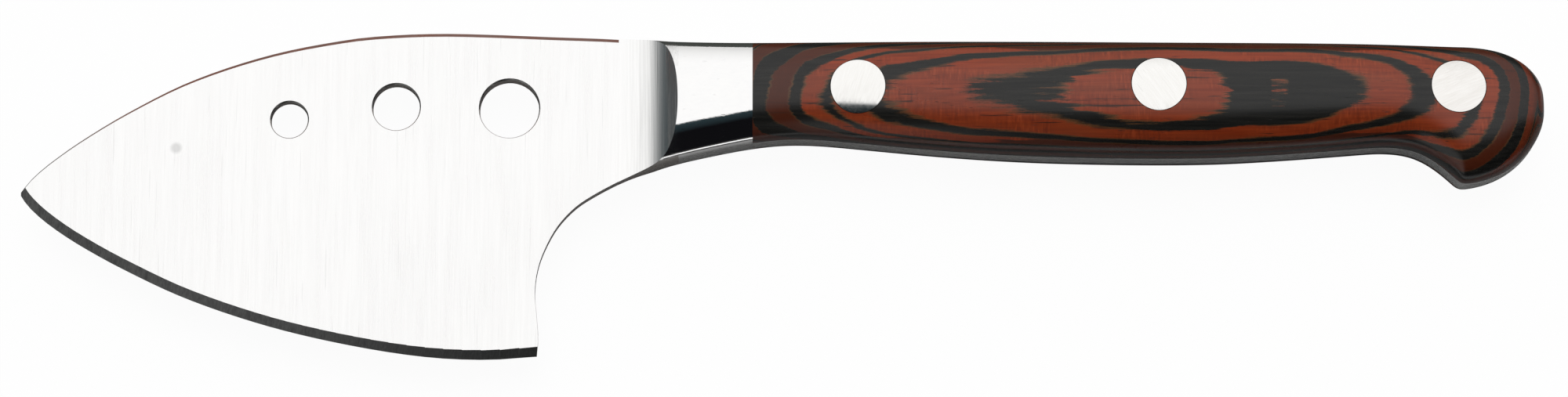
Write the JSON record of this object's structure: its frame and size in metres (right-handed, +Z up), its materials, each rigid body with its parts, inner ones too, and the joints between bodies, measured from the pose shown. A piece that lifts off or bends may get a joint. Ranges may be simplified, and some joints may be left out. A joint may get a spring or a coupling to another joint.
{
  "type": "cheese knife",
  "caption": "Full-tang hard-cheese knife: broad pointed blade with round holes, polished bolster and riveted laminated-wood handle.",
  "frame": {"origin": "on the table under the middle of the knife's length and height, with the knife on its right side", "axes": "+X from the blade's tip to the butt, +Y from the cutting edge to the spine, +Z up out of the left side"},
  "size_m": [0.222, 0.0486, 0.0164],
  "materials": {
    "blade_steel": "satin flat sides, dark ground bevel, mirror-polished bolster",
    "scale_wood": "resin-filled laminate in red-brown and near-black layers, polished",
    "rivet_metal": "satin, ground flush with the wood"
  },
  "bodies": {
    "root": {"blade_blank": "blade_steel", "left_scale": "scale_wood", "right_scale": "scale_wood", "front_rivet_sleeve": "rivet_metal", "middle_rivet_sleeve": "rivet_metal", "rear_rivet_sleeve": "rivet_metal", "front_rivet_pin": "rivet_metal", "middle_rivet_pin": "rivet_metal", "rear_rivet_pin": "rivet_metal"}
  },
  "joints": []
}
